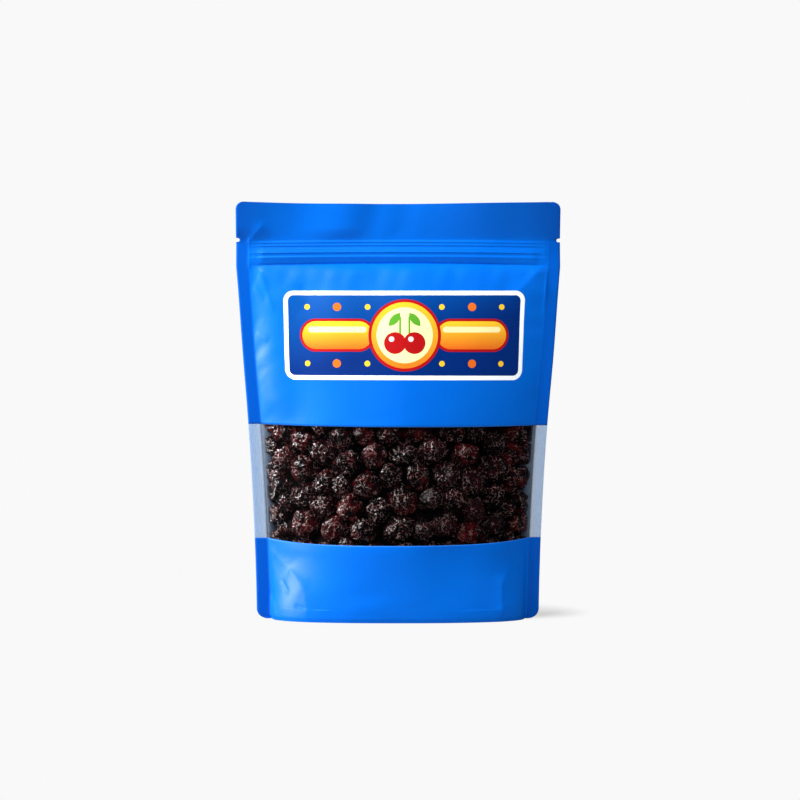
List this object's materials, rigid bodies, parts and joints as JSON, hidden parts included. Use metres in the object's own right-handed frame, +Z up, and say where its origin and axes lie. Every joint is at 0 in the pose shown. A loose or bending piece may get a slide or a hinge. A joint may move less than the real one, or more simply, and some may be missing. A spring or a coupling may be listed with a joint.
{
  "type": "stand-up pouch of dried sour cherries",
  "caption": "Shut stand-up food pouch with a press zip, tear notches, side seals and a gusseted base, and a clear band in its lower half where dried sour cherries show.",
  "frame": {"origin": "on the floor, under the middle of the pouch", "axes": "+Z up towards the header, +X to the right as seen from the printed front, +Y towards the back"},
  "size_m": [0.1492, 0.061, 0.1916],
  "materials": {
    "printed_film": "satin printed film",
    "dried_fruit": "wrinkled, semi-gloss",
    "clear_film": "clear film"
  },
  "bodies": {
    "root": {"pouch": "printed_film", "cherries": "dried_fruit"}
  },
  "joints": []
}
